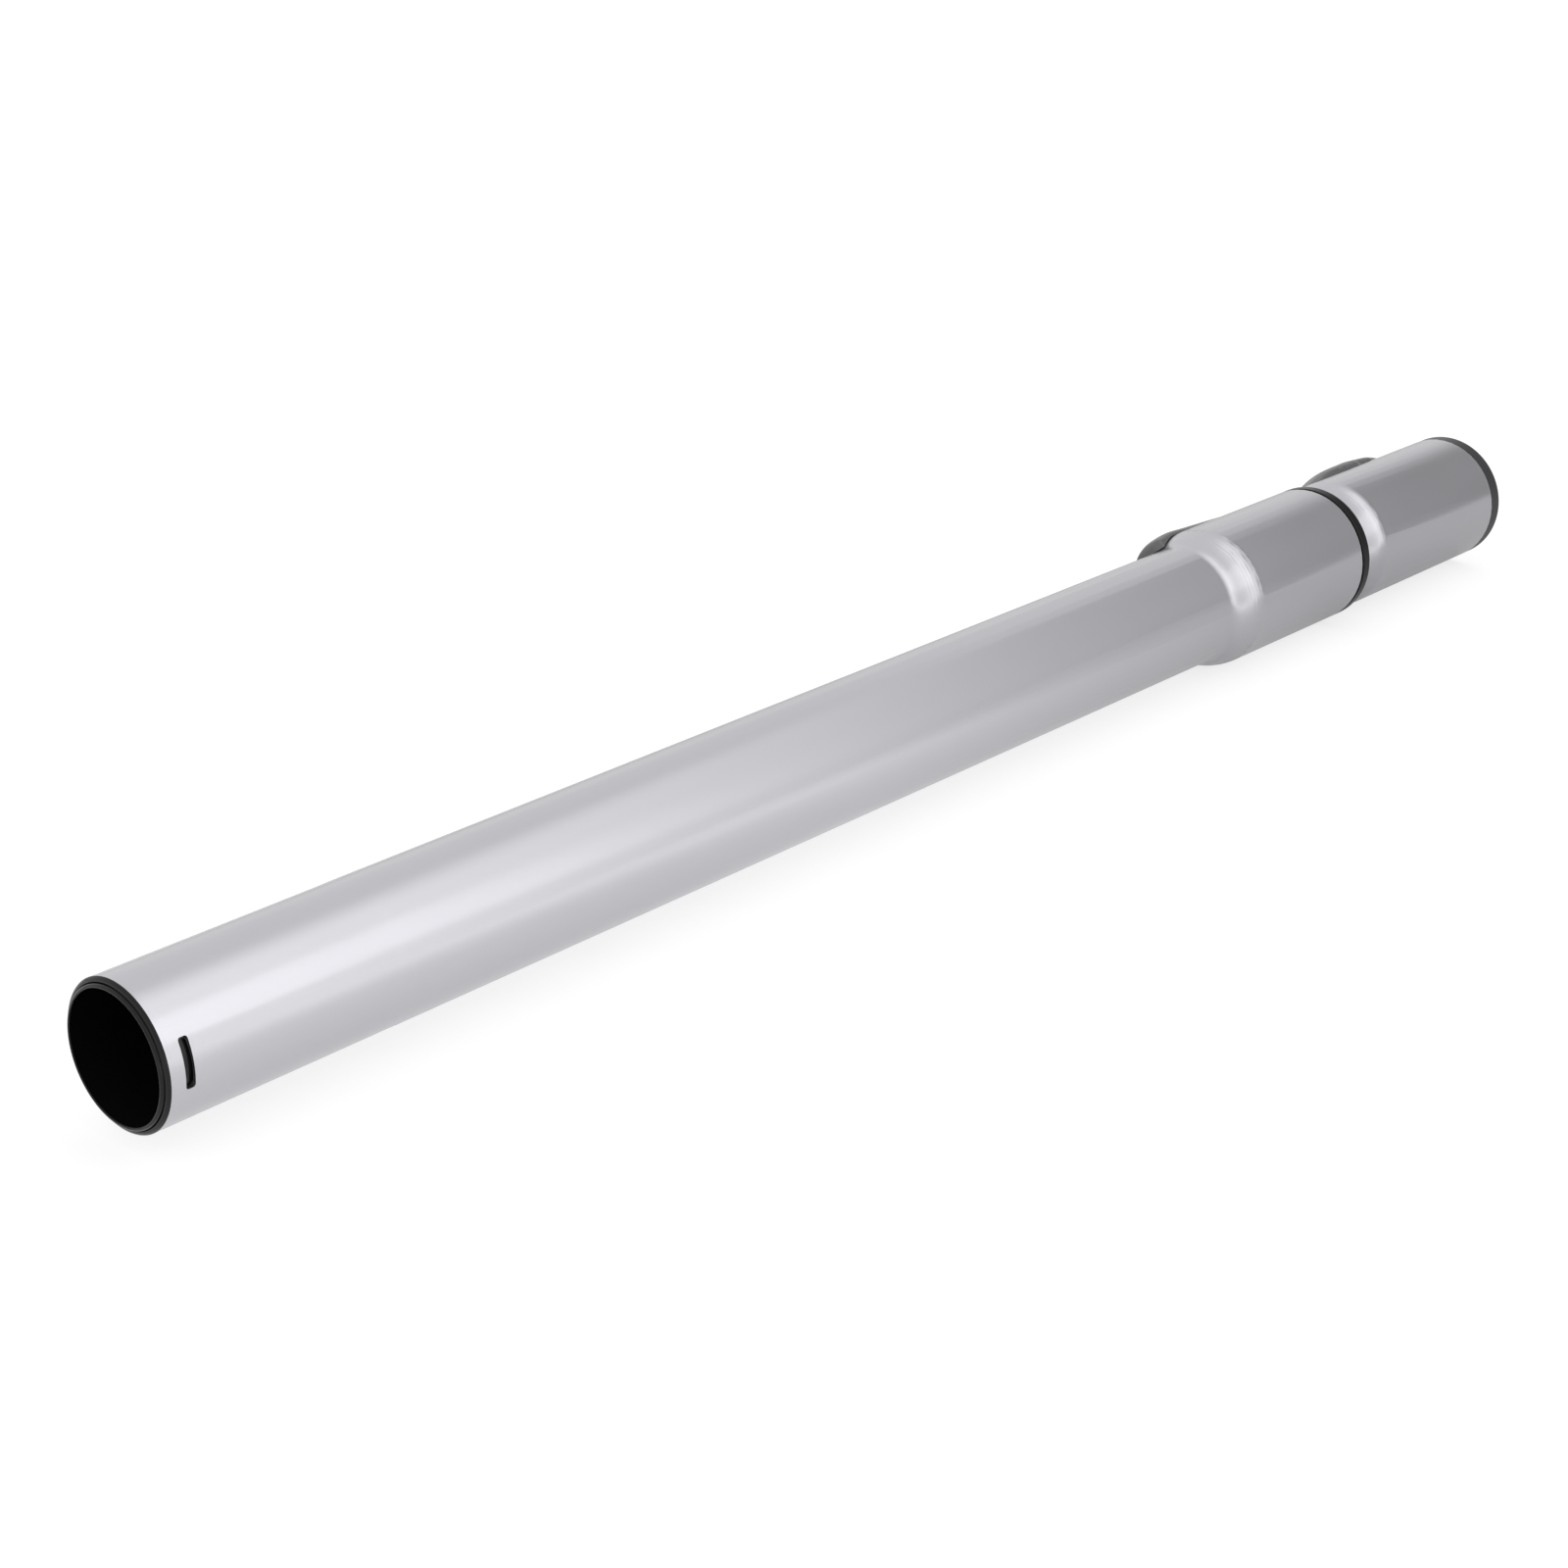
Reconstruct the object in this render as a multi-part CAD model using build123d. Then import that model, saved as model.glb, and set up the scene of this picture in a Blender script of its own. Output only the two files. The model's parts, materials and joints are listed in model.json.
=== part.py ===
import os
from math import atan, cos, radians, sin, sqrt, tan

from build123d import *

# Telescopic vacuum wand, pushed together. The wand's axis is X: x = 0 is the front edge of the lower
# mouth, where a floor head goes on, and the socket for the handle is at the far end.
# Each piece is drawn with the lock slider and the release button on top, towards +Z. The whole wand is
# then rolled about its axis to the way it lies. Sizes are in millimetres.

# How it lies
roll_angle = 50.0  # from straight up towards +Y, in degrees

# Lower tube: painted steel, with a swaged collar
steel = 0.7  # wall of both tubes
connection_radius = 17.5  # half of the standard 35 mm, sized where it goes into a floor head
connection_length = 60.0
connection_blend = 6.0
tube_radius = 17.55
main_length = 377.6  # from the tube's lower edge to the shoulder
shoulder_length = 13.0
collar_radius = 20.5
collar_length = 52.5
flat_height = 19.2  # of the flat pressed in the collar under the slider, over the axis
flat_spare = 0.7  # past the slider's end

# Mouth liner and the catch slot for a floor head
mouth_flange = 1.53
mouth_bore_radius = 15.3
mouth_liner_length = 36.5
mouth_lip = 0.25
bead_groove_inset = 0.7  # from the tube's edge to the groove between the two beads
bead_groove_radius = 16.3
bead_groove_depth = 0.3
liner_entry = 0.8
catch_angle = -131.5  # from the slider's direction, in degrees
catch_inset = 3.67  # from the tube's edge to the slot
catch_width = 2.4
catch_length = 11.4
catch_corner = 0.7
catch_pocket_corner = 0.4
catch_lip_depth = 0.35  # of the lip round the pocket, under the skin
catch_lip = 0.6  # its width at the foot of its slope
catch_lip_slope = 12.0  # in degrees
catch_floor_radius = 16.4

# Collar ring and wiper seal
ring_gap = 0.95
ring_width = 3.45
ring_edge = 0.5
ring_spigot_length = 4.5
ring_spigot_wall = 1.0
guide_rim_wall = 1.1  # of the guide sleeve, round the ring's spigot
wiper_length = 4.0
wiper_wall = 1.35

# Upper tube: steel, telescoping, flared to the handle sleeve
upper_radius = 15.9
flare_length = 11.2
sleeve_radius = 19.6
sleeve_length = 62.9
flute_floor = 13.9  # height of the flute's floor over the axis
flute_half_width = 6.3
flute_spare = 1.0  # past the guide sleeve's key at both ends of the stroke
notch_depth = 1.6
notch_half_width = 6.0
notch_half_floor = 0.9
notch_pitch = 40.0
stroke_spare = 10.0  # between the mouth liner and the upper tube, at least
neck_step = 0.7
neck_blend = 2.0

# Guide sleeve
guide_setback = 1.4  # behind the end of the shoulder
key_lead = 6.0
roller_setback = 13.5
channel_half_width = 6.3
channel_floor = 15.25
channel_step = 16.5
spring_bore_radius = 1.5
spring_bore_depth = 14.0
spring_height = 16.55
spring_offset = 3.4
snap_setback = 1.3
snap_length = 3.8
snap_lead = 2.6  # length of the nub's slope
snap_half_width = 4.0

# Lock slider: a grip outside and a carriage with a ramp inside
slider_travel = 4.0
roller_radius = 1.75
roller_length = 11.6
roller_chamfer = 0.25
roller_lift = 0.25  # over the flute's floor, when released
roller_drop = 1.65  # from released to locked
carriage_before = 6.5  # from the roller to the carriage's lower end
carriage_after = 14.5
stem_before = 4.5
stem_after = 9.5
stem_half_width = 4.2
tongue_before = 3.0
tongue_after = 6.5
tongue_half_width = 2.4
tongue_rise = 0.65  # into the grip
spring_peg_radius = 0.75
spring_peg_length = 2.5
slider_spring_coil = 1.1
slider_spring_wire = 0.2
slider_spring_turns = 9
crown_axis = 9.0  # height of the line that the grip and the fairing are crowned about
grip_overhang = 3.0  # of its nose, over the main tube
grip_length = 57.0
grip_full_length = 25.0  # where it starts to narrow
grip_half_width = 6.2
grip_nose_length = 1.8
grip_nose_half_width = 4.2
grip_tail_half_width = 2.8
grip_corner = 1.6
grip_crown = 13.4

# Glide shells and piston seal on the upper tube's lower end
stop_gap = 0.5
glide_length = 18.0
shell_split = 0.1  # from the middle to either half
glide_peg_radius = 1.5
glide_peg_inset = 12.0
piston_inset = 3.0
piston_length = 3.0
piston_depth = 0.8

# Handle socket
socket_bore_radius = 17.6
socket_liner_gap = 2.4  # from the end of the flare to the liner
socket_flange = 5.5
socket_flange_round = 1.3
socket_flange_groove = 0.3
socket_mouth = 0.9
socket_seal_length = 2.0
socket_seal_wall = 0.85

# Release button and its fairing
button_travel = 1.2
fairing_setback = 9.5  # of its nose, from the start of the flare
fairing_length = 51.0
fairing_full_length = 38.0
fairing_half_width = 6.3
fairing_nose_length = 5.0
fairing_nose_half_width = 3.2
fairing_tail_half_width = 1.7
fairing_corner = 1.5
fairing_crown = 13.75
fairing_peg_radius = 1.25
fairing_peg_inset = 11.3
fairing_peg_offset = 3.6
fairing_peg_height = 17.7
button_setback = 23.6  # of its rounded front, from the fairing's nose
button_front = 13.2  # length of the rounded front
button_front_half_width = 6.8
button_seam = 0.25
button_rise = 0.15
button_recess_radius = 18.05
button_tongue_length = 8.0
button_tongue_half_width = 3.5
button_tongue_height = 21.0
button_tongue_thickness = 0.75
button_tongue_gap = 0.15
plunger_length = 6.0
plunger_half_width = 2.9
plunger_setback = 0.25  # of its end, behind the socket's bore
button_spring_coil = 2.0
button_spring_wire = 0.2
button_spring_turns = 3
button_spring_inset = 6.7  # from the tip of the button's rounded front
button_spring_height = 21.2

# Clearances
fit_gap = 0.05  # between pieces that are pushed together
slide_gap = 0.3  # between pieces that move
roller_gap = 0.15
past = 10.0  # how far a cutting shape runs past the skin

# Places along the wand
mouth_edge = mouth_flange
connection_end = mouth_edge + connection_length
catch_x = mouth_edge + catch_inset + catch_width / 2
shoulder_start = mouth_edge + main_length
shoulder_end = shoulder_start + shoulder_length
collar_end = shoulder_end + collar_length
ring_start = collar_end + ring_gap
ring_end = ring_start + ring_width
flare_start = ring_end + slide_gap
flare_end = flare_start + flare_length
sleeve_end = flare_end + sleeve_length
socket_end = sleeve_end + socket_flange
liner_start = flare_end + socket_liner_gap
guide_start = shoulder_end + guide_setback
roller_x = guide_start + roller_setback
stroke_room = main_length + shoulder_length + guide_setback - mouth_liner_length - stop_gap
stroke_count = int((stroke_room - glide_length - neck_blend - stroke_spare) / notch_pitch)
stroke = notch_pitch * stroke_count
glide_top = guide_start - stroke - stop_gap
glide_start = glide_top - glide_length
tail_start = glide_start - neck_blend / 2
neck_end = glide_top + neck_blend / 2
key_start = roller_x - key_lead
key_end = ring_start - ring_spigot_length - fit_gap
flute_start = key_start - stroke - flute_spare
flute_end = key_end + flute_spare
stem_start = roller_x - stem_before
stem_end = roller_x + stem_after
carriage_start = roller_x - carriage_before
carriage_end = roller_x + carriage_after
channel_start = carriage_start - slider_travel - slide_gap
spring_wall = carriage_end + spring_bore_depth
snap_start = carriage_end + snap_setback
snap_end = snap_start + snap_length
grip_start = shoulder_start - grip_overhang
grip_end = grip_start + grip_length
flat_end = grip_end + flat_spare
glide_peg_x = glide_start + glide_peg_inset
piston_start = glide_start + piston_inset
fairing_start = flare_start + fairing_setback
fairing_end = fairing_start + fairing_length
fairing_peg_x = fairing_start + fairing_peg_inset
button_tip = fairing_start + button_setback
button_x = button_tip + button_front

# Radii and heights that follow
tube_top = collar_radius + past
guide_radius = collar_radius - steel - fit_gap
guide_bore = upper_radius + slide_gap
guide_flat = flat_height - steel - fit_gap
key_half_width = flute_half_width - slide_gap
ring_spigot_radius = guide_radius - guide_rim_wall - fit_gap
carriage_floor = channel_floor + slide_gap
carriage_half_width = channel_half_width - slide_gap
carriage_top = flat_height - steel - slide_gap
roller_rest_height = flute_floor + roller_lift + roller_radius
grip_floor = flat_height + slide_gap
stem_top = grip_floor - fit_gap
tongue_top = stem_top + tongue_rise
glide_radius = connection_radius - steel - slide_gap
liner_radius = sleeve_radius - steel - fit_gap
button_floor_radius = button_recess_radius + button_travel + button_rise


def spun(*edges):
    """A solid turned about the wand's axis, from a chain of edges in x and radius."""
    first = edges[0] @ 0
    last = edges[-1] @ 1
    closing = [
        Line((first.X, 0), (first.X, first.Y)),
        Line((last.X, last.Y), (last.X, 0)),
        Line((last.X, 0), (first.X, 0)),
    ]
    return revolve(make_face([*edges, *closing]), Axis.X)


def rod(radius, x0, x1, y=0.0, z=0.0):
    return Pos((x0 + x1) / 2, y, z) * Rot(0, 90, 0) * Cylinder(radius, x1 - x0)


def ring(x0, x1, outer, inner):
    return rod(outer, x0, x1) - rod(inner, x0, x1)


def post(radius, x, y, z0, z1):
    return Pos(x, y, (z0 + z1) / 2) * Cylinder(radius, z1 - z0)


def block(x0, x1, half_width, z0, z1):
    return Pos((x0 + x1) / 2, 0, (z0 + z1) / 2) * Box(x1 - x0, 2 * half_width, z1 - z0)


def prism(points, half_width):
    """A side view, given as points in x and z, thickened evenly to both sides."""
    side = Plane.XZ * make_face(Polyline(*points, close=True))
    return extrude(side, amount=half_width, both=True)


def s_curve(x0, r0, x1, r1):
    """Two equal arcs that lead a tube's wall smoothly from one radius to a larger one."""
    length = x1 - x0
    rise = r1 - r0
    radius = (length**2 + rise**2) / (4 * rise)
    turn = 2 * atan(rise / length)
    along = radius * sin(turn / 2)
    up = radius * (1 - cos(turn / 2))
    middle = ((x0 + x1) / 2, (r0 + r1) / 2)
    return [
        ThreePointArc((x0, r0), (x0 + along, r0 + up), middle),
        ThreePointArc(middle, (x1 - along, r1 - up), (x1, r1)),
    ]


def pressed(x0, x1, floor, half_width, grow=0.0):
    """What a press tool takes from a tube: a flat floor with ends at 45 degrees. grow thickens it."""
    side = grow * tan(radians(22.5))
    low = floor - grow
    rise = tube_top - low
    outline = [
        (x0 - side, low),
        (x1 + side, low),
        (x1 + side + rise, low + rise),
        (x0 - side - rise, low + rise),
    ]
    return prism(outline, half_width + grow)


def radial_pad(x, width, length, angle, r0, r1, corner, taper=0.0):
    """A rounded rectangle that stands out from the axis at an angle, from radius r0 to r1."""
    away = (0, sin(radians(angle)), cos(radians(angle)))
    foot = Plane(origin=(x, away[1] * r0, away[2] * r0), x_dir=(1, 0, 0), z_dir=away)
    return extrude(foot * RectangleRounded(width, length, corner), amount=r1 - r0, taper=taper)


def crowned(points, extra=0.0):
    """A long rounded pad, turned about a line inside the tube. points are x and crown radius."""
    crown = Spline(*[(x, r + extra) for x, r in points])
    return Pos(0, 0, crown_axis) * spun(crown)


def boat(x0, nose_length, full_length, x1, nose_half, half, tail_half, corner):
    """The top view of a long pad with a blunt nose and a narrow tail."""
    lower = [(x0, -nose_half), (x0 + nose_length, -half), (x0 + full_length, -half), (x1, -tail_half)]
    upper = [(x, -y) for x, y in reversed(lower)]
    outline = make_face(Polyline(*lower, *upper, close=True))
    return fillet(outline.vertices(), corner)


def coil(radius, wire, turns, length):
    """A helical spring that stands on the origin, its length taken over the wire."""
    line = Helix((length - 2 * wire) / turns, length - 2 * wire, radius)
    section = Plane(origin=line @ 0, z_dir=line % 0) * Circle(wire)
    return Pos(0, 0, wire) * sweep(section, path=line)


def lower_tube_outline(inset):
    return [
        Line((mouth_edge, connection_radius - inset), (connection_end, connection_radius - inset)),
        Line(
            (connection_end, connection_radius - inset),
            (connection_end + connection_blend, tube_radius - inset),
        ),
        Line(
            (connection_end + connection_blend, tube_radius - inset),
            (shoulder_start, tube_radius - inset),
        ),
        *s_curve(shoulder_start, tube_radius - inset, shoulder_end, collar_radius - inset),
        Line((shoulder_end, collar_radius - inset), (collar_end, collar_radius - inset)),
    ]


def upper_tube_outline(inset):
    neck = upper_radius - neck_step
    return [
        Line((tail_start, neck - inset), (neck_end, neck - inset)),
        Line((neck_end, neck - inset), (neck_end + neck_blend, upper_radius - inset)),
        Line((neck_end + neck_blend, upper_radius - inset), (flare_start, upper_radius - inset)),
        *s_curve(flare_start, upper_radius - inset, flare_end, sleeve_radius - inset),
        Line((flare_end, sleeve_radius - inset), (sleeve_end, sleeve_radius - inset)),
    ]


def collar_flat(depth):
    return pressed(shoulder_start, flat_end, flat_height, collar_radius, depth)


def make_lower_tube():
    outside = spun(*lower_tube_outline(0)) - collar_flat(0)
    inside = spun(*lower_tube_outline(steel)) - collar_flat(steel)
    slot = radial_pad(
        catch_x, catch_width, catch_length, catch_angle, mouth_bore_radius, tube_top, catch_corner
    )
    window = block(
        stem_start - slider_travel - slide_gap,
        stem_end + slide_gap,
        stem_half_width + slide_gap,
        crown_axis,
        tube_top,
    )
    snap_hole = block(
        snap_start - fit_gap, snap_end + fit_gap, snap_half_width + fit_gap, crown_axis, tube_top
    )
    return outside - inside - slot - window - snap_hole


def make_mouth_liner():
    outer = connection_radius - steel - fit_gap
    end = mouth_edge + mouth_liner_length
    groove_x = mouth_edge - bead_groove_inset
    groove_top = bead_groove_radius + bead_groove_depth / 2
    groove_low = bead_groove_radius - bead_groove_depth / 2
    groove_floor = (groove_x + bead_groove_depth, bead_groove_radius)
    lip_middle = mouth_lip * (1 - sqrt(0.5))
    lip_radius = mouth_bore_radius + mouth_lip
    bead_middle = (lip_middle, (groove_low + lip_radius) / 2)
    flange_corner = (mouth_edge, connection_radius)
    flange_middle = (groove_floor[0], connection_radius - bead_groove_depth)
    profile = [
        Line((end - liner_entry, outer), (mouth_edge, outer)),
        Line((mouth_edge, outer), flange_corner),
        ThreePointArc(flange_corner, flange_middle, (groove_x, groove_top)),
        Line((groove_x, groove_top), groove_floor),
        Line(groove_floor, (groove_x, groove_low)),
        ThreePointArc((groove_x, groove_low), bead_middle, (0, lip_radius)),
        ThreePointArc(
            (0, lip_radius), (lip_middle, mouth_bore_radius + lip_middle), (mouth_lip, mouth_bore_radius)
        ),
        Line((mouth_lip, mouth_bore_radius), (end, mouth_bore_radius)),
        Line((end, mouth_bore_radius), (end, outer - liner_entry)),
        Line((end, outer - liner_entry), (end - liner_entry, outer)),
    ]
    liner = revolve(make_face(profile), Axis.X)
    frame_width = catch_width - 2 * fit_gap
    frame_length = catch_length - 2 * fit_gap
    frame = radial_pad(
        catch_x, frame_width, frame_length, catch_angle, catch_floor_radius, tube_top, catch_corner
    )
    frame &= rod(connection_radius - catch_lip_depth, 0, end)
    pocket = radial_pad(
        catch_x,
        frame_width - 2 * catch_lip,
        frame_length - 2 * catch_lip,
        catch_angle,
        mouth_bore_radius,
        tube_top,
        catch_pocket_corner,
        -catch_lip_slope,
    )
    pocket -= rod(catch_floor_radius, 0, end)
    return liner + frame - pocket


def make_guide_sleeve():
    body = ring(guide_start, ring_start, guide_radius, guide_bore) - collar_flat(steel + fit_gap)
    body += block(key_start, key_end, key_half_width, flute_floor + slide_gap, guide_bore + fit_gap)
    half_slot = roller_radius + roller_gap
    body -= block(roller_x, carriage_end + slide_gap, channel_half_width, channel_floor, tube_top)
    body -= block(channel_start, roller_x, channel_half_width, channel_step, tube_top)
    body -= block(roller_x - half_slot, roller_x + half_slot, key_half_width, 0, tube_top)
    body -= rod(ring_spigot_radius + fit_gap, key_end, ring_start)
    for side in (-1, 1):
        body -= rod(spring_bore_radius, carriage_end, spring_wall, side * spring_offset, spring_height)
    nub = prism(
        [
            (snap_start, guide_flat - slide_gap),
            (snap_end, guide_flat - slide_gap),
            (snap_end, flat_height - fit_gap),
            (snap_start + snap_lead, flat_height - fit_gap),
            (snap_start, guide_flat),
        ],
        snap_half_width,
    )
    return body + nub


def make_collar_ring():
    flange = ring(ring_start, ring_end, collar_radius, upper_radius + slide_gap)
    rims = [e for e in flange.edges().filter_by(GeomType.CIRCLE) if abs(e.radius - collar_radius) < 0.001]
    flange = fillet(rims, ring_edge)
    inner = ring_spigot_radius - ring_spigot_wall
    return flange + ring(ring_start - ring_spigot_length, ring_start, ring_spigot_radius, inner)


def make_wiper_seal():
    outer = ring_spigot_radius - ring_spigot_wall - fit_gap
    end = ring_start - fit_gap
    return ring(end - wiper_length, end, outer, outer - wiper_wall)


def make_slider_carriage():
    body = block(carriage_start, carriage_end, carriage_half_width, carriage_floor, carriage_top)
    body += block(stem_start, stem_end, stem_half_width, carriage_top - 1, stem_top)
    body += block(
        roller_x - tongue_before, roller_x + tongue_after, tongue_half_width, stem_top - 1, tongue_top
    )
    slope = roller_drop / slider_travel
    room = roller_radius + roller_gap
    ceiling = roller_rest_height + room
    ramp_start = roller_x + room * (sqrt(1 + slope**2) - 1) / slope
    ramp_end = ramp_start + (ceiling - carriage_floor) / slope
    pocket_x = roller_x - room - slide_gap
    foot_floor = channel_step + slide_gap
    body -= prism(
        [
            (carriage_start - past, carriage_floor - past),
            (ramp_end, carriage_floor - past),
            (ramp_end, carriage_floor),
            (ramp_start, ceiling),
            (pocket_x, ceiling),
            (pocket_x, foot_floor),
            (carriage_start - past, foot_floor),
        ],
        channel_half_width,
    )
    for side in (-1, 1):
        peg_end = carriage_end + spring_peg_length
        body += rod(spring_peg_radius, carriage_end - 1, peg_end, side * spring_offset, spring_height)
    return body


def make_slider_grip():
    crown = [
        (grip_start, grip_crown - 3.2),
        (grip_start + 0.6, grip_crown - 2.0),
        (grip_start + 2, grip_crown - 1.15),
        (grip_start + 5, grip_crown - 0.5),
        (grip_start + 12, grip_crown),
        (grip_start + 20, grip_crown - 0.4),
        (grip_start + 39, grip_crown - 1.2),
        (grip_end, grip_crown - 1.8),
    ]
    top_view = boat(
        grip_start,
        grip_nose_length,
        grip_full_length,
        grip_end,
        grip_nose_half_width,
        grip_half_width,
        grip_tail_half_width,
        grip_corner,
    )
    grip = crowned(crown) & extrude(top_view, amount=tube_top)
    grip -= spun(*lower_tube_outline(-slide_gap)) & block(0, collar_end, tube_top, 0, grip_floor)
    return grip - block(
        roller_x - tongue_before - fit_gap,
        roller_x + tongue_after + fit_gap,
        tongue_half_width + fit_gap,
        crown_axis,
        tongue_top + fit_gap,
    )


def make_lock_roller():
    roller = Pos(roller_x, 0, roller_rest_height) * Rot(90, 0, 0) * Cylinder(roller_radius, roller_length)
    return chamfer(roller.edges().filter_by(GeomType.CIRCLE), roller_chamfer)


def make_slider_spring(side):
    length = spring_wall - carriage_end - 2 * fit_gap
    spring = coil(slider_spring_coil, slider_spring_wire, slider_spring_turns, length)
    return Pos(carriage_end + fit_gap, side * spring_offset, spring_height) * Rot(0, 90, 0) * spring


def make_upper_tube():
    outside = spun(*upper_tube_outline(0))
    inside = spun(*upper_tube_outline(steel))
    outside -= pressed(flute_start, flute_end, flute_floor, flute_half_width)
    inside -= pressed(flute_start, flute_end, flute_floor, flute_half_width, steel)
    notch_floor = flute_floor - notch_depth
    for k in range(stroke_count + 1):
        x0 = roller_x - notch_pitch * k - notch_half_floor
        x1 = x0 + 2 * notch_half_floor
        outside -= pressed(x0, x1, notch_floor, notch_half_width)
        inside -= pressed(x0, x1, notch_floor, notch_half_width, steel)
    tube = outside - inside
    tube -= button_opening(slide_gap)
    tube -= button_tongue(slide_gap, crown_axis, tube_top)
    for side in (-1, 1):
        tube -= post(fairing_peg_radius + fit_gap, fairing_peg_x, side * fairing_peg_offset, 0, tube_top)
        tube -= Rot(90 * side, 0, 0) * post(glide_peg_radius + fit_gap, glide_peg_x, 0, 0, tube_top)
    return tube


def make_glide_shell(side):
    """One of the two half shells that centre the upper tube in the lower one."""
    neck = upper_radius - neck_step
    shell = ring(glide_start, glide_top, glide_radius, neck + fit_gap)
    shell -= ring(
        piston_start, piston_start + piston_length, glide_radius + 1, glide_radius - piston_depth
    )
    middle = (glide_start + glide_top) / 2
    half = Pos(middle, side * (tube_top + shell_split), 0) * Box(glide_length, 2 * tube_top, 2 * tube_top)
    peg = post(glide_peg_radius, glide_peg_x, 0, neck - steel, neck + 2 * fit_gap)
    return (shell & half) + Rot(-90 * side, 0, 0) * peg


def make_piston_seal():
    inner = glide_radius - piston_depth + fit_gap
    start = piston_start + fit_gap
    return ring(start, start + piston_length - 2 * fit_gap, glide_radius, inner)


def make_socket_liner():
    flange_radius = sleeve_radius - fit_gap
    groove_end = sleeve_end + socket_flange_groove
    round_start = socket_end - socket_flange_round
    round_middle = socket_flange_round * (1 - sqrt(0.5))
    mouth_start = socket_end - socket_mouth
    mouth_radius = socket_bore_radius + socket_mouth / 2
    corners = [
        (mouth_start, socket_bore_radius),
        (liner_start, socket_bore_radius),
        (liner_start, liner_radius - liner_entry / 2),
        (liner_start + liner_entry, liner_radius),
        (groove_end, liner_radius),
        (groove_end, flange_radius),
        (round_start, flange_radius),
    ]
    profile = [
        Polyline(*corners),
        ThreePointArc(
            (round_start, flange_radius),
            (socket_end - round_middle, flange_radius - round_middle),
            (socket_end, flange_radius - socket_flange_round),
        ),
        Line((socket_end, flange_radius - socket_flange_round), (socket_end, mouth_radius)),
        Line((socket_end, mouth_radius), (mouth_start, socket_bore_radius)),
    ]
    liner = revolve(make_face(profile), Axis.X)
    liner -= button_opening(slide_gap) - rod(button_recess_radius, liner_start, sleeve_end)
    liner -= block(
        button_x - slide_gap,
        button_x + plunger_length + slide_gap,
        plunger_half_width + slide_gap,
        0,
        tube_top,
    )
    peg_floor = fairing_peg_height - 2 * fit_gap
    for side in (-1, 1):
        liner -= post(
            fairing_peg_radius + fit_gap, fairing_peg_x, side * fairing_peg_offset, peg_floor, tube_top
        )
    return liner


def make_socket_seal():
    end = liner_start - fit_gap
    return ring(end - socket_seal_length, end, liner_radius, liner_radius - socket_seal_wall)


def fairing_crown_points():
    return [
        (fairing_start, fairing_crown - 5.2),
        (fairing_start + 2, fairing_crown - 3.3),
        (fairing_start + 6, fairing_crown - 1.7),
        (fairing_start + 12, fairing_crown - 0.47),
        (fairing_start + 23, fairing_crown),
        (fairing_start + 34, fairing_crown - 0.2),
        (fairing_start + 43, fairing_crown - 0.8),
        (fairing_end, fairing_crown - 2.3),
    ]


def fairing_top_view():
    return boat(
        fairing_start,
        fairing_nose_length,
        fairing_full_length,
        fairing_end,
        fairing_nose_half_width,
        fairing_half_width,
        fairing_tail_half_width,
        fairing_corner,
    )


def button_block(outline, gap):
    """Upright, all of an outline that lies behind the button's long rounded front."""
    front = Pos(button_x, 0) * Ellipse(button_front + gap, button_front_half_width + gap)
    rear_middle = (button_x + fairing_end + past) / 2
    rear = Pos(rear_middle, 0) * Rectangle(2 * (rear_middle - button_x), 2 * tube_top)
    return extrude(outline & (front + rear), amount=tube_top)


def button_opening(gap):
    return button_block(offset(fairing_top_view(), gap), gap)


def button_tongue(gap, low, high):
    """The tongue that holds the button under the fairing's roof."""
    start = button_tip - button_tongue_length
    end = button_tip + button_tongue_half_width
    return block(start - gap, end + gap, button_tongue_half_width + gap, low, high)


def make_button_housing():
    housing = crowned(fairing_crown_points()) & extrude(fairing_top_view(), amount=tube_top)
    housing -= spun(*upper_tube_outline(-fit_gap))
    housing -= button_opening(button_seam)
    housing -= button_tongue(slide_gap, 0, button_tongue_height + button_tongue_gap)
    for side in (-1, 1):
        housing += post(
            fairing_peg_radius,
            fairing_peg_x,
            side * fairing_peg_offset,
            fairing_peg_height,
            sleeve_radius + fairing_peg_radius,
        )
    return housing


def make_release_button():
    button = crowned(fairing_crown_points(), button_rise) & button_block(fairing_top_view(), 0)
    button -= rod(button_floor_radius, 0, socket_end)
    plunger = block(
        button_x,
        button_x + plunger_length,
        plunger_half_width,
        socket_bore_radius + plunger_setback,
        button_floor_radius + 1,
    )
    tongue_low = button_tongue_height - button_tongue_thickness
    button += plunger + button_tongue(0, tongue_low, button_tongue_height)
    return button - post(
        button_spring_coil + button_spring_wire + slide_gap,
        button_tip + button_spring_inset,
        0,
        0,
        button_spring_height,
    )


def make_button_spring():
    low = button_recess_radius + fit_gap
    spring = coil(
        button_spring_coil, button_spring_wire, button_spring_turns, button_spring_height - fit_gap - low
    )
    return Pos(button_tip + button_spring_inset, 0, low) * spring


def save(name, shape):
    export_step(Rot(-roll_angle, 0, 0) * shape, os.path.join("parts", name + ".step"))


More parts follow.
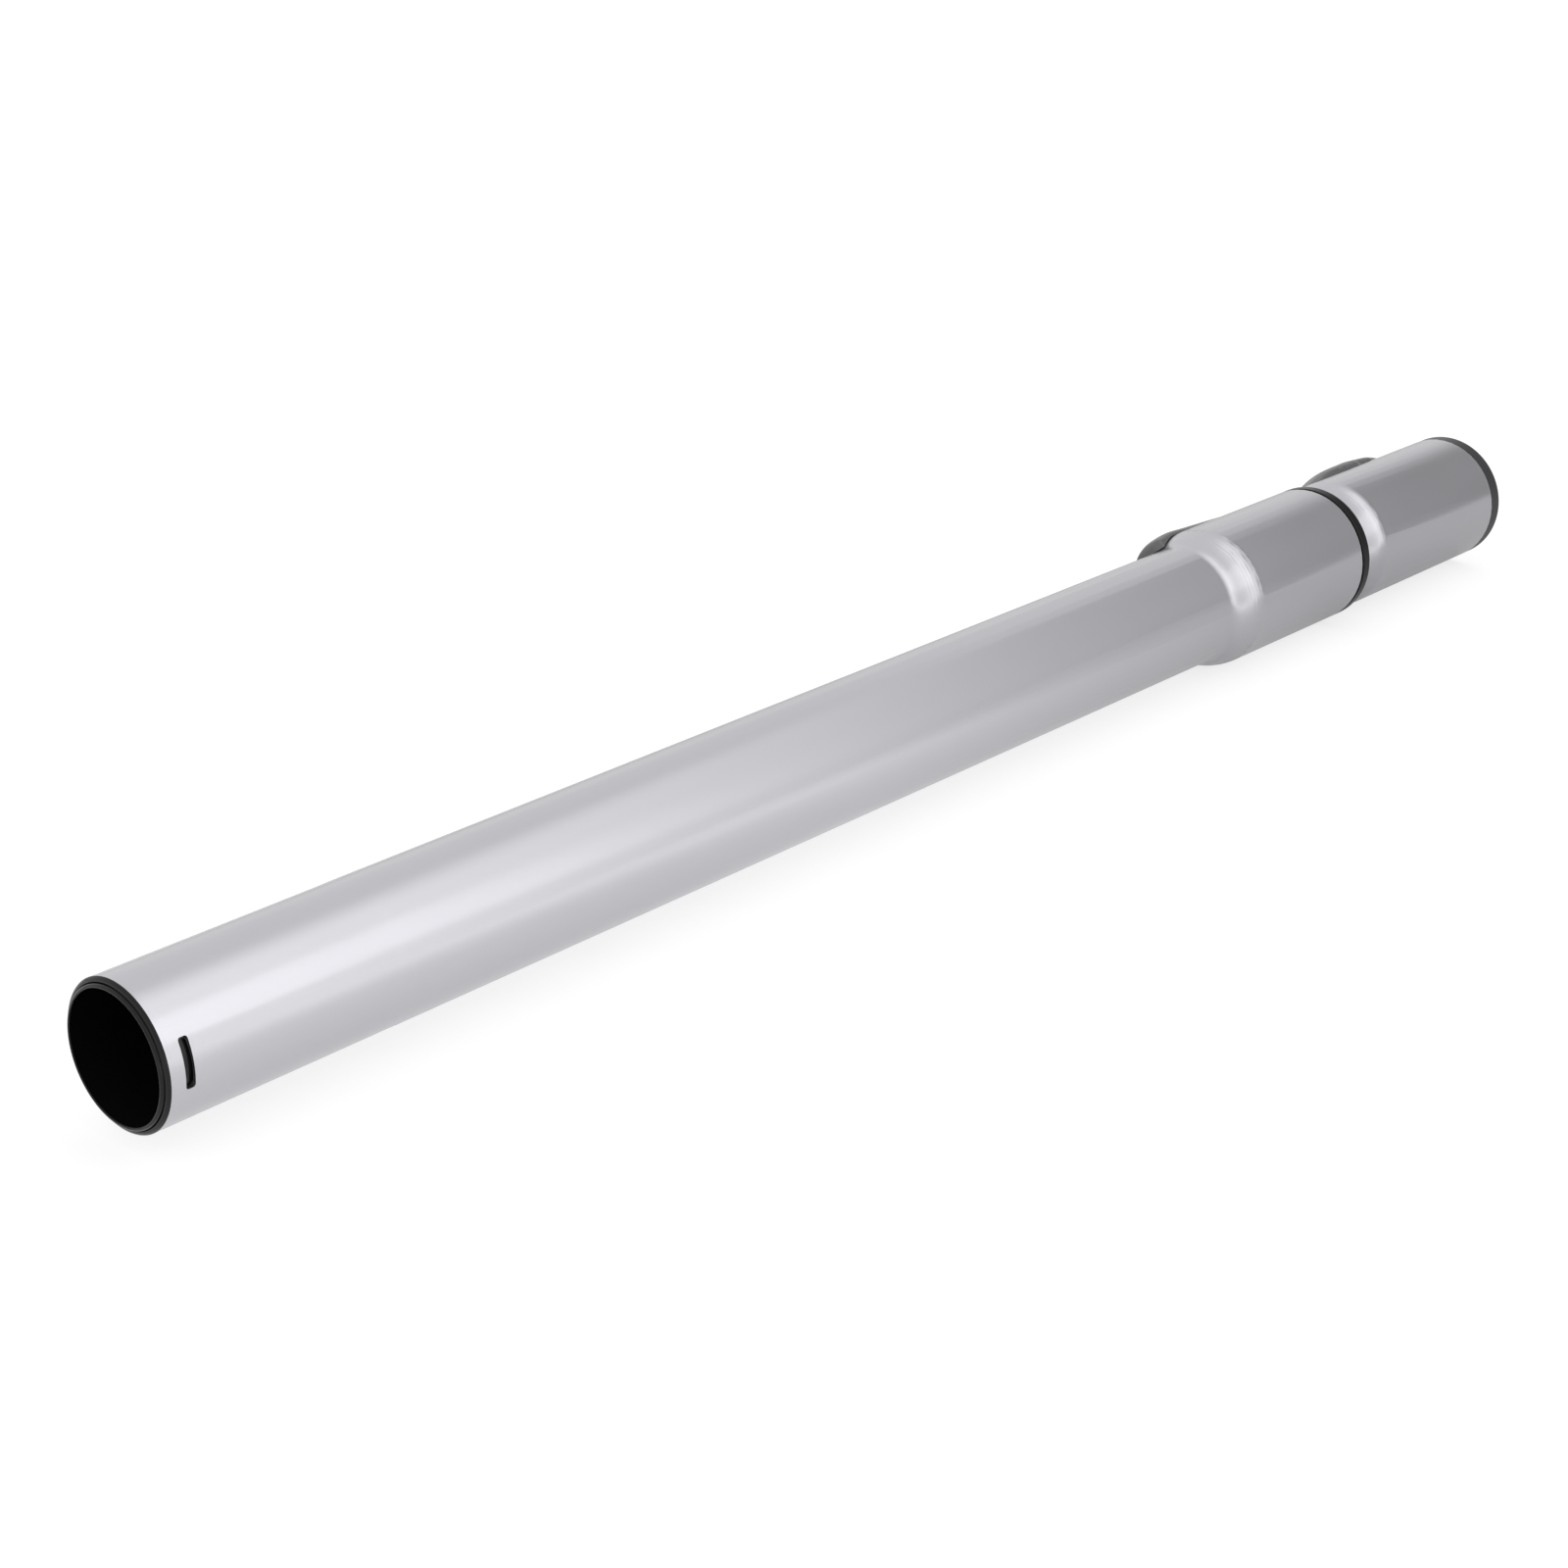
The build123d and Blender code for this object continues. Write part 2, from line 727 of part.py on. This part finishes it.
os.makedirs("parts", exist_ok=True)
save("lower_tube", make_lower_tube())
save("mouth_liner", make_mouth_liner())
save("guide_sleeve", make_guide_sleeve())
save("collar_ring", make_collar_ring())
save("wiper_seal", make_wiper_seal())
save("slider_grip", make_slider_grip())
save("slider_carriage", make_slider_carriage())
save("slider_spring_left", make_slider_spring(1))
save("slider_spring_right", make_slider_spring(-1))
save("lock_roller", make_lock_roller())
save("upper_tube", make_upper_tube())
save("glide_shell_left", make_glide_shell(1))
save("glide_shell_right", make_glide_shell(-1))
save("piston_seal", make_piston_seal())
save("socket_liner", make_socket_liner())
save("socket_seal", make_socket_seal())
save("button_housing", make_button_housing())
save("release_button", make_release_button())
save("button_spring", make_button_spring())
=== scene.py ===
import json
import math

import bmesh
import bpy
from mathutils import Matrix, Vector


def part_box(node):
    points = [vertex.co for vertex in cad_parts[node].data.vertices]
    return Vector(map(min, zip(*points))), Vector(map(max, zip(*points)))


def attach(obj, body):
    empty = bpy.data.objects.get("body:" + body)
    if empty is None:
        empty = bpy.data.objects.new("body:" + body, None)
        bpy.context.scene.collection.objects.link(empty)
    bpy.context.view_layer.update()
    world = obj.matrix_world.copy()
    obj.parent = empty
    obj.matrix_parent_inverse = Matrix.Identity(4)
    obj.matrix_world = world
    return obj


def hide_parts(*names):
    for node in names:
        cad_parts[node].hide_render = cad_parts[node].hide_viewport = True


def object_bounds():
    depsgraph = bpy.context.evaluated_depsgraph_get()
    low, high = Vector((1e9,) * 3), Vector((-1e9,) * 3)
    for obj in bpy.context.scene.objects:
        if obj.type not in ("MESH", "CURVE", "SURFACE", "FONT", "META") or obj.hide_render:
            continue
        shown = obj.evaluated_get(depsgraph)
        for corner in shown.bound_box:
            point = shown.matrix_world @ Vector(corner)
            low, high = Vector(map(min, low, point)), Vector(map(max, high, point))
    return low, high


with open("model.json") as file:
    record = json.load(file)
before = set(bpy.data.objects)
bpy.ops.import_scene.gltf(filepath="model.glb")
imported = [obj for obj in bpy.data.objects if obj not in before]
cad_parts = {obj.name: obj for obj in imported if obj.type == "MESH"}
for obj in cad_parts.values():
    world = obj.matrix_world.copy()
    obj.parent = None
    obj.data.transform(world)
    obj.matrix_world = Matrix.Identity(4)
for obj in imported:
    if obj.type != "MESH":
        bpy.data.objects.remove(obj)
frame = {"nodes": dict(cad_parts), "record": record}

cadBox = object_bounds()
nodes = frame["nodes"]
bpy.ops.object.select_all(action='DESELECT')
print("frame loaded:", len(nodes), "pieces")

# camera, placed and turned as the photograph was taken
photoCamera = {
    "place": (-0.3096, -0.4664, 0.2878),
    "looksAlong": (0.6841, 0.6193, -0.3854),
    "focalPixels": 3034.1,
    "imagePixels": 1600,
    "sensorWidth": 36,
}


def addCamera(c):
    turn = Vector(c["looksAlong"]).to_track_quat('-Z', 'Y').to_euler()
    bpy.ops.object.camera_add(location=c["place"], rotation=turn)
    camera = bpy.context.object
    camera.name = "photoCamera"
    camera.data.sensor_width = c["sensorWidth"]
    camera.data.lens = c["focalPixels"] / c["imagePixels"] * c["sensorWidth"]
    camera.data.clip_start = 0.01
    camera.data.clip_end = 50
    bpy.context.scene.camera = camera


addCamera(photoCamera)
print("camera placed")


# small tools for the materials; a noise is given as its scale, its detail and, where it isn't even, its stretch
noiseRange = (0.3, 0.7)


def newMaterial(name, colour, metallic, roughness):
    material = bpy.data.materials.new(name)
    material.use_nodes = True
    shader = material.node_tree.nodes["Principled BSDF"]
    shader.inputs["Base Color"].default_value = (*colour, 1)
    shader.inputs["Metallic"].default_value = metallic
    shader.inputs["Roughness"].default_value = roughness
    return material, shader


def addNode(material, kind, **values):
    node = material.node_tree.nodes.new(kind)
    for name, value in values.items():
        node.inputs[name.replace("_", " ")].default_value = value
    return node


def join(material, start, end):
    material.node_tree.links.new(start, end)


def noiseOn(material, scale, detail, stretch=(1, 1, 1)):
    place = addNode(material, 'ShaderNodeTexCoord')
    mapping = addNode(material, 'ShaderNodeMapping', Scale=stretch)
    noise = addNode(material, 'ShaderNodeTexNoise', Scale=scale, Detail=detail)
    join(material, place.outputs["Object"], mapping.inputs["Vector"])
    join(material, mapping.outputs["Vector"], noise.inputs["Vector"])
    return noise.outputs["Fac"]


def spread(material, value, low, high):
    start, end = noiseRange
    ranged = addNode(material, 'ShaderNodeMapRange', From_Min=start, From_Max=end, To_Min=low, To_Max=high)
    ranged.clamp = False
    join(material, value, ranged.inputs["Value"])
    return ranged.outputs["Result"]


def shadeOf(material, shader, value, colour, change):
    mix = addNode(material, 'ShaderNodeMix')
    mix.data_type = 'RGBA'
    dark = [c * (1 - change) for c in colour]
    light = [min(1, c * (1 + change)) for c in colour]
    colours = [i for i in mix.inputs if i.type == 'RGBA']
    colours[0].default_value = (*dark, 1)
    colours[1].default_value = (*light, 1)
    join(material, value, mix.inputs[0])
    join(material, [o for o in mix.outputs if o.type == 'RGBA'][0], shader.inputs["Base Color"])


def bumpFrom(material, shader, height, strength, distance):
    bump = addNode(material, 'ShaderNodeBump', Strength=strength, Distance=distance)
    join(material, height, bump.inputs["Height"])
    join(material, bump.outputs["Normal"], shader.inputs["Normal"])


# silver paint on both tubes: fine flake under a satin clear coat
silverPaint = {
    "colour": (0.56, 0.556, 0.588),
    "metallic": 0.9,
    "roughness": (0.225, 0.265),
    "flake": (9000, 1),
    "flakeChange": 0.05,
    "cloud": (30, 3, (0.3, 1, 1)),
    "peel": (420, 2),
    "peelStrength": 0.25,
    "peelHeight": 0.00002,
    "coat": 0.15,
    "coatRoughness": 0.12,
}


def makeSilverPaint(p):
    material, shader = newMaterial("silverPaint", p["colour"], p["metallic"], p["roughness"][0])
    flake = noiseOn(material, *p["flake"])
    shadeOf(material, shader, spread(material, flake, 0, 1), p["colour"], p["flakeChange"])
    cloud = noiseOn(material, *p["cloud"])
    join(material, spread(material, cloud, *p["roughness"]), shader.inputs["Roughness"])
    bumpFrom(material, shader, noiseOn(material, *p["peel"]), p["peelStrength"], p["peelHeight"])
    shader.inputs["Coat Weight"].default_value = p["coat"]
    shader.inputs["Coat Roughness"].default_value = p["coatRoughness"]
    return material


# moulded plastics: a cloudy gloss, faint blotches of shade and a fine grain
plastics = {
    "linerPlastic": {
        "colour": (0.005, 0.005, 0.0055), "roughness": (0.1, 0.14), "shine": 0.3,
        "grain": (1800, 3), "grainHeight": 0.00001,
    },
    "guidePlastic": {
        "colour": (0.015, 0.015, 0.016), "roughness": (0.4, 0.5), "shine": 0.4,
        "grain": (2500, 3), "grainHeight": 0.00001,
    },
    "ringPlastic": {
        "colour": (0.006, 0.006, 0.0065), "roughness": (0.2, 0.26), "shine": 0.25,
        "grain": (2500, 3), "grainHeight": 0.00001,
    },
    "gripPlastic": {
        "colour": (0.1, 0.1, 0.103), "roughness": (0.2, 0.26), "shine": 1.0,
        "grain": (3200, 3), "grainHeight": 0.00002,
    },
    "socketPlastic": {
        "colour": (0.025, 0.025, 0.027), "roughness": (0.32, 0.42), "shine": 0.5,
        "grain": (2500, 3), "grainHeight": 0.00001,
    },
    "glidePlastic": {
        "colour": (0.6, 0.6, 0.57), "roughness": (0.35, 0.45), "shine": 0.5,
        "grain": (1500, 3), "grainHeight": 0.00001,
    },
}
moulding = {"cloud": (60, 3), "blotches": (25, 2), "blotchChange": 0.06, "grainStrength": 0.5}


def makePlastic(name, p, m):
    material, shader = newMaterial(name, p["colour"], 0, p["roughness"][0])
    shader.inputs["Specular IOR Level"].default_value = p["shine"]
    cloud = noiseOn(material, *m["cloud"])
    join(material, spread(material, cloud, *p["roughness"]), shader.inputs["Roughness"])
    blotches = noiseOn(material, *m["blotches"])
    shadeOf(material, shader, spread(material, blotches, 0, 1), p["colour"], m["blotchChange"])
    bumpFrom(material, shader, noiseOn(material, *p["grain"]), m["grainStrength"], p["grainHeight"])
    return material


# rubber of the three seals
sealRubber = {
    "colour": (0.018, 0.018, 0.018),
    "roughness": 0.75,
    "shine": 0.3,
    "cloud": (120, 4),
    "cloudChange": 0.15,
    "grain": (4000, 3),
    "grainStrength": 0.6,
    "grainHeight": 0.00003,
}


def makeRubber(p):
    material, shader = newMaterial("sealRubber", p["colour"], 0, p["roughness"])
    shader.inputs["Specular IOR Level"].default_value = p["shine"]
    cloud = noiseOn(material, *p["cloud"])
    shadeOf(material, shader, spread(material, cloud, 0, 1), p["colour"], p["cloudChange"])
    bumpFrom(material, shader, noiseOn(material, *p["grain"]), p["grainStrength"], p["grainHeight"])
    return material


# bare steels inside: the ground roller and the drawn spring wire
steels = {
    "rollerSteel": {"colour": (0.55, 0.55, 0.54), "roughness": (0.18, 0.26), "streaks": (900, 3)},
    "springSteel": {"colour": (0.42, 0.42, 0.43), "roughness": (0.28, 0.4), "streaks": (1500, 3, (0.2, 1, 1))},
}
streakBump = (0.3, 0.000005)


def makeSteel(name, p):
    material, shader = newMaterial(name, p["colour"], 1, p["roughness"][0])
    streaks = noiseOn(material, *p["streaks"])
    join(material, spread(material, streaks, *p["roughness"]), shader.inputs["Roughness"])
    bumpFrom(material, shader, streaks, *streakBump)
    return material


materials = {"silver_paint": makeSilverPaint(silverPaint), "seal_rubber": makeRubber(sealRubber)}
for slot, name in (
    ("liner_plastic", "linerPlastic"),
    ("guide_plastic", "guidePlastic"),
    ("ring_plastic", "ringPlastic"),
    ("grip_plastic", "gripPlastic"),
    ("socket_plastic", "socketPlastic"),
    ("glide_plastic", "glidePlastic"),
):
    materials[slot] = makePlastic(name, plastics[name], moulding)
for slot, name in (("roller_steel", "rollerSteel"), ("spring_steel", "springSteel")):
    materials[slot] = makeSteel(name, steels[name])

for part in frame["record"]["subparts"]:
    piece = nodes[part["node"]]
    piece.data.materials.clear()
    piece.data.materials.append(materials[part["material_slot"]])
print("materials on", len(nodes), "pieces")

# pieces remade from copies of their CAD meshes, where the photograph shows other curves than the solids have;
# a copy is worked on with the lock slider turned to the top
remaking = {"sliderAngle": 50, "mergedWithin": 0.000002, "cutWithin": 0.000001, "smoothUnder": 30}


def openCopy(name, node, cuts, cutsAcross=()):
    piece = nodes[node].copy()
    piece.data = nodes[node].data.copy()
    piece.name = name
    bpy.context.scene.collection.objects.link(piece)
    bpy.context.view_layer.objects.active = piece
    piece.select_set(True)
    bpy.ops.mesh.customdata_custom_splitnormals_clear()
    piece.select_set(False)
    mesh = bmesh.new()
    mesh.from_mesh(piece.data)
    bmesh.ops.remove_doubles(mesh, verts=mesh.verts, dist=remaking["mergedWithin"])
    turn = Matrix.Rotation(math.radians(remaking["sliderAngle"]), 3, 'X')
    bmesh.ops.rotate(mesh, verts=mesh.verts, matrix=turn)
    planes = [((x, 0, 0), (1, 0, 0)) for x in cuts] + [((0, y, 0), (0, 1, 0)) for y in cutsAcross]
    for place, facing in planes:
        everything = mesh.verts[:] + mesh.edges[:] + mesh.faces[:]
        within = remaking["cutWithin"]
        bmesh.ops.bisect_plane(mesh, geom=everything, dist=within, plane_co=place, plane_no=facing)
    mesh.normal_update()
    return piece, mesh


def closeCopy(piece, mesh, c):
    turn = Matrix.Rotation(-math.radians(remaking["sliderAngle"]), 3, 'X')
    bmesh.ops.rotate(mesh, verts=mesh.verts, matrix=turn)
    mesh.to_mesh(piece.data)
    mesh.free()
    piece.select_set(True)
    bpy.ops.object.shade_smooth_by_angle(angle=math.radians(remaking["smoothUnder"]))
    piece.select_set(False)
    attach(piece, c["body"])
    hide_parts(c["node"])


# the two widened ends: the shoulder turns out on a tight hollow arc and back on a wide round one
evenShare = 0.5


def swagedRadius(x, c, share):
    (x0, r0), (x1, r1) = c["start"], c["end"]
    if x <= x0:
        return r0
    if x >= x1:
        return r1
    arcs = ((x1 - x0) ** 2 + (r1 - r0) ** 2) / (2 * (r1 - r0))
    turn = 2 * math.atan((r1 - r0) / (x1 - x0))
    tight, wide = arcs * share, arcs * (1 - share)
    if x < x0 + tight * math.sin(turn):
        return r0 + tight - math.sqrt(tight**2 - (x - x0) ** 2)
    return r1 - wide + math.sqrt(wide**2 - (x1 - x) ** 2)


def remakeCurve(name, c):
    x0, x1 = c["start"][0], c["end"][0]
    count = round((x1 - x0) / c["step"])
    cuts = [x0 + (x1 - x0) * k / count for k in range(-1, count + 2)]
    piece, mesh = openCopy(name, c["node"], cuts)
    for vertex in mesh.verts:
        x, y, z = vertex.co
        radius = math.hypot(y, z)
        if not x0 < x < x1 or abs(radius - swagedRadius(x, c, evenShare)) > c["skin"]:
            continue
        made = swagedRadius(x, c, c["hollowShare"])
        y, z = y * made / radius, z * made / radius
        if z > c["flatHeight"]:
            y, z = math.copysign(math.sqrt(made**2 - c["flatHeight"] ** 2), y), c["flatHeight"]
        vertex.co = (x, y, z)
    closeCopy(piece, mesh, c)


silverTube = {
    "node": "lower_tube",
    "body": "lower_tube",
    "start": (0.37913, 0.01755),
    "end": (0.39213, 0.0205),
    "hollowShare": 0.3,
    "flatHeight": 0.0192,
    "step": 0.0004,
    "skin": 0.0003,
}
remakeCurve("silverTube", silverTube)

silverSleeve = {
    "node": "upper_tube",
    "body": "upper_tube",
    "start": (0.44933, 0.0159),
    "end": (0.46053, 0.0196),
    "hollowShare": 0.3,
    "flatHeight": 1,
    "step": 0.0004,
    "skin": 0.0003,
}
remakeCurve("silverSleeve", silverSleeve)

# the grip, the fairing and the button: crowned over their length and across, with a soft edge
crowning = {
    "axis": 0.009,
    "cutsAlong": 70,
    "cutsAcross": 17,
    "acrossStep": 0.0004,
    "facesUp": 0.2,
    "sameLevel": 0.00002,
    "edgeDepth": 0.8,
    "overTube": 0.0003,
}


def smoothThrough(points, x):
    slopes = [(b[1] - a[1]) / (b[0] - a[0]) for a, b in zip(points, points[1:])]
    tangents = [slopes[0]] + [(a + b) / 2 for a, b in zip(slopes, slopes[1:])] + [slopes[-1]]
    k = max(i for i, point in enumerate(points[:-1]) if point[0] <= max(x, points[0][0]))
    (x0, r0), (x1, r1) = points[k], points[k + 1]
    run = x1 - x0
    t = min(1, max(0, (x - x0) / run))
    rise = r0 * (1 + 2 * t) * (1 - t) ** 2 + r1 * t**2 * (3 - 2 * t)
    return rise + run * t * (1 - t) * (tangents[k] * (1 - t) - tangents[k + 1] * t)


def crownHeight(x, y, c):
    widths = c["widths"]
    half = widths[-1][1]
    for (xa, a), (xb, b) in zip(widths, widths[1:]):
        if x < xb:
            half = a + (b - a) * max(0, x - xa) / (xb - xa)
            break
    inside = max(0, min(half - abs(y), x - widths[0][0], widths[-1][0] - x, c["edge"]))
    lost = c["edge"] - math.sqrt(c["edge"] ** 2 - (c["edge"] - inside) ** 2)
    crown = math.sqrt(smoothThrough(c["points"], x) ** 2 - y**2)
    floor = c["floor"] if c["flatFloor"] else math.sqrt(c["floor"] ** 2 - y**2)
    return max(crowning["axis"] + crown - lost * crowning["edgeDepth"], floor)


def underside(x, y):
    over = crowning["overTube"]
    floor = swagedRadius(x, silverTube, silverTube["hollowShare"]) + over
    return min(math.sqrt(floor**2 - y**2), silverTube["flatHeight"] + over)


def remakeCrown(name, c):
    lowCorner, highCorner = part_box(c["node"])
    low, high, end = lowCorner[0], highCorner[0], c["shiftEnd"]
    count, half = crowning["cutsAlong"], crowning["cutsAcross"]
    cuts = [low + (high - low) * k / count for k in range(1, count)]
    cutsAcross = [crowning["acrossStep"] * k for k in range(-half, half + 1)]
    piece, mesh = openCopy(name, c["node"], cuts, cutsAcross)
    crown = set()
    for face in mesh.faces:
        if face.normal.z > crowning["facesUp"]:
            crown.update(v for v in face.verts if abs(v.co.z - c["innerTop"]) > crowning["sameLevel"])
    for vertex in mesh.verts:
        x, y, z = vertex.co
        moved = x < end
        if moved:
            x += c["noseShift"] * (1 - (x - low) / (end - low)) ** 2
        top = crownHeight(x, y, c)
        if vertex in crown:
            z = top
        elif moved and c["flatFloor"]:
            z = underside(x, y)
        else:
            z = min(z, top)
        vertex.co = (x, y, z)
    closeCopy(piece, mesh, c)


sliderGrip = {
    "node": "slider_grip",
    "body": "lock_slider",
    "noseShift": 0.0045,
    "shiftEnd": 0.4,
    "innerTop": 0,
    "edge": 0.0014,
    "floor": 0.0196,
    "flatFloor": True,
    "widths": ((0.38063, 0.0042), (0.38243, 0.0062), (0.40113, 0.0062), (0.43313, 0.0028)),
    "points": (
        (0.38063, 0.0111), (0.38123, 0.012), (0.38263, 0.01265), (0.38513, 0.0131),
        (0.38913, 0.0134), (0.39663, 0.013), (0.41513, 0.0122), (0.43313, 0.0116),
    ),
}
remakeCrown("sliderGrip", sliderGrip)

buttonFairing = {
    "node": "button_housing",
    "body": "upper_tube",
    "noseShift": 0.002,
    "shiftEnd": 0.468,
    "innerTop": 0,
    "edge": 0.0018,
    "floor": 0.0197,
    "flatFloor": False,
    "widths": ((0.46083, 0.0032), (0.4648, 0.0063), (0.4968, 0.0063), (0.5098, 0.0017)),
    "points": (
        (0.46083, 0.0083), (0.4627, 0.0103), (0.4657, 0.0119), (0.4707, 0.0132),
        (0.4797, 0.01375), (0.4887, 0.01345), (0.5007, 0.0123), (0.5098, 0.0108),
    ),
}
remakeCrown("buttonFairing", buttonFairing)

# the button carries on the fairing's crown, a little higher
buttonRise = 0.00015
releaseButton = {
    "node": "release_button",
    "body": "release_button",
    "noseShift": 0,
    "shiftEnd": 0.468,
    "innerTop": 0.021,
    "edge": 0.0018,
    "floor": 0.0196,
    "flatFloor": False,
    "widths": buttonFairing["widths"],
    "points": [(x, height + buttonRise) for x, height in buttonFairing["points"]],
}
remakeCrown("releaseButton", releaseButton)
print("five pieces remade")

# the studio: white all round; to the front the room is bright past the mouth and dims past the handle
studio = {
    "floorDrop": 0.0005,
    "floorSize": 12,
    "floorCentre": (0.25, 0),
    "floorColour": (0.36, 0.36, 0.36),
    "floorRoughness": 0.8,
    # painted reflection: the floor glows only for glossy and transmission rays, brighter in front by the mouth
    # and dim past the handle
    "paintedFloorReflection": {"fromFront": (-0.02, -0.25), "nearMouth": (0.62, 1.05), "pastHandle": 0.29},
    "paintedReflectionFade": {"along": (1, 0.65, 0), "between": (0.22, 0.44)},
    "floorSeen": 0.74,
    "backDims": (0.6, 0.85),
    "backLevels": (0.9, 0.78),
    "frontEdge": (-1, 0.95, -0.31),
    "frontStarts": (-0.43, -0.93),
    "frontLevels": (
        (0.1, 0.95), (0.42, 1.25), (0.52, 1.6), (0.571, 1.4), (0.654, 1.19),
        (0.725, 0.835), (0.779, 0.39), (0.81, 0.21), (0.818, 0.19), (0.828, 0.3),
    ),
    "curveTop": 2,
    "lamp": {
        "name": "frontSoftbox", "place": (0.6, -1.3, 1.0), "aim": (0.2, 0, 0), "size": (1.4, 1.0), "watts": 1.5,
    },
}


def makeFloor(s):
    low = cadBox[0][2] - s["floorDrop"]
    bpy.ops.mesh.primitive_plane_add(size=s["floorSize"], location=(*s["floorCentre"], low))
    floor = bpy.context.object
    floor.name = "paleFloor"
    material, shader = newMaterial("paleFloor", s["floorColour"], 0, s["floorRoughness"])
    shader.inputs["Specular IOR Level"].default_value = 0
    # camera rays see the floor glow white; glossy and transmission rays see a painted reflection glow, brighter
    # further in front near the mouth and fading to dim past the handle
    rays = addNode(material, 'ShaderNodeLightPath')
    mirrored = addNode(material, 'ShaderNodeMath')
    mirrored.operation = 'ADD'
    join(material, rays.outputs["Is Glossy Ray"], mirrored.inputs[0])
    join(material, rays.outputs["Is Transmission Ray"], mirrored.inputs[1])
    place = addNode(material, 'ShaderNodeNewGeometry')
    across = addNode(material, 'ShaderNodeSeparateXYZ')
    join(material, place.outputs["Position"], across.inputs["Vector"])
    near, far = s["paintedFloorReflection"]["fromFront"]
    low, high = s["paintedFloorReflection"]["nearMouth"]
    atMouth = addNode(material, 'ShaderNodeMapRange', From_Min=near, From_Max=far, To_Min=low, To_Max=high)
    join(material, across.outputs["Y"], atMouth.inputs["Value"])
    along = addNode(material, 'ShaderNodeVectorMath')
    along.operation = 'DOT_PRODUCT'
    along.inputs[1].default_value = s["paintedReflectionFade"]["along"]
    join(material, place.outputs["Position"], along.inputs[0])
    start, end = s["paintedReflectionFade"]["between"]
    pastHandle = s["paintedFloorReflection"]["pastHandle"]
    level = addNode(material, 'ShaderNodeMapRange', From_Min=start, From_Max=end, To_Max=pastHandle)
    join(material, along.outputs["Value"], level.inputs["Value"])
    join(material, atMouth.outputs["Result"], level.inputs["To Min"])
    dimmed = addNode(material, 'ShaderNodeMath')
    dimmed.operation = 'MULTIPLY'
    join(material, mirrored.outputs["Value"], dimmed.inputs[0])
    join(material, level.outputs["Result"], dimmed.inputs[1])
    glowing = addNode(material, 'ShaderNodeMath')
    glowing.operation = 'MULTIPLY_ADD'
    glowing.inputs[1].default_value = s["floorSeen"]
    join(material, rays.outputs["Is Camera Ray"], glowing.inputs[0])
    join(material, dimmed.outputs["Value"], glowing.inputs[2])
    glow = addNode(material, 'ShaderNodeEmission')
    join(material, glowing.outputs["Value"], glow.inputs["Strength"])
    both = addNode(material, 'ShaderNodeAddShader')
    join(material, shader.outputs["BSDF"], both.inputs[0])
    join(material, glow.outputs["Emission"], both.inputs[1])
    join(material, both.outputs["Shader"], material.node_tree.nodes["Material Output"].inputs["Surface"])
    floor.data.materials.append(material)


def makeRoom(s):
    world = bpy.data.worlds.new("studioRoom")
    bpy.context.scene.world = world
    world.use_nodes = True
    tree = world.node_tree
    background = tree.nodes["Background"]
    background.inputs["Color"].default_value = (1, 1, 1, 1)

    def ranged(value, fromMin, fromMax, toMin, toMax, kind='LINEAR'):
        node = tree.nodes.new('ShaderNodeMapRange')
        node.interpolation_type = kind
        limits = {"From Min": fromMin, "From Max": fromMax, "To Min": toMin, "To Max": toMax}
        for name, number in limits.items():
            node.inputs[name].default_value = number
        tree.links.new(value, node.inputs["Value"])
        return node.outputs["Result"]

    def mixed(factor, a, b):
        node = tree.nodes.new('ShaderNodeMix')
        node.data_type = 'FLOAT'
        tree.links.new(factor, node.inputs["Factor"])
        for name, value in (("A", a), ("B", b)):
            if isinstance(value, float):
                node.inputs[name].default_value = value
            else:
                tree.links.new(value, node.inputs[name])
        return node.outputs["Result"]

    way = tree.nodes.new('ShaderNodeTexCoord')
    parts = tree.nodes.new('ShaderNodeSeparateXYZ')
    tree.links.new(way.outputs["Generated"], parts.inputs["Vector"])
    edge = tree.nodes.new('ShaderNodeVectorMath')
    edge.operation = 'DOT_PRODUCT'
    edge.inputs[1].default_value = s["frontEdge"]
    tree.links.new(way.outputs["Generated"], edge.inputs[0])
    front = ranged(edge.outputs["Value"], *s["frontStarts"], 0, 1, 'SMOOTHSTEP')
    # a curve node holds values up to 1, so the levels are divided in it and multiplied after it
    top = s["curveTop"]
    levels = tree.nodes.new('ShaderNodeFloatCurve')
    curve = levels.mapping.curves[0]
    curve.points[0].location = (0, s["frontLevels"][0][1] / top)
    curve.points[1].location = (1, s["frontLevels"][-1][1] / top)
    for at, level in s["frontLevels"]:
        curve.points.new(at, level / top)
    for point in curve.points:
        point.handle_type = 'VECTOR'
    levels.mapping.update()
    tree.links.new(parts.outputs["X"], levels.inputs["Value"])
    multiplied = tree.nodes.new('ShaderNodeMath')
    multiplied.operation = 'MULTIPLY'
    multiplied.inputs[1].default_value = top
    tree.links.new(levels.outputs["Value"], multiplied.inputs[0])
    backLevel = ranged(parts.outputs["X"], *s["backDims"], *s["backLevels"])
    level = mixed(front, backLevel, multiplied.outputs["Value"])
    rays = tree.nodes.new('ShaderNodeLightPath')
    seen = mixed(rays.outputs["Is Camera Ray"], level, 1.0)
    tree.links.new(seen, background.inputs["Strength"])


def makeLamp(lamp):
    turn = (Vector(lamp["aim"]) - Vector(lamp["place"])).to_track_quat('-Z', 'Y').to_euler()
    bpy.ops.object.light_add(type='AREA', location=lamp["place"], rotation=turn)
    light = bpy.context.object
    light.name = lamp["name"]
    light.data.shape = 'RECTANGLE'
    light.data.size = lamp["size"][0]
    light.data.size_y = lamp["size"][1]
    light.data.energy = lamp["watts"]


makeFloor(studio)
makeRoom(studio)
makeLamp(studio["lamp"])
bpy.context.scene.view_settings.view_transform = 'Standard'
print("studio ready")
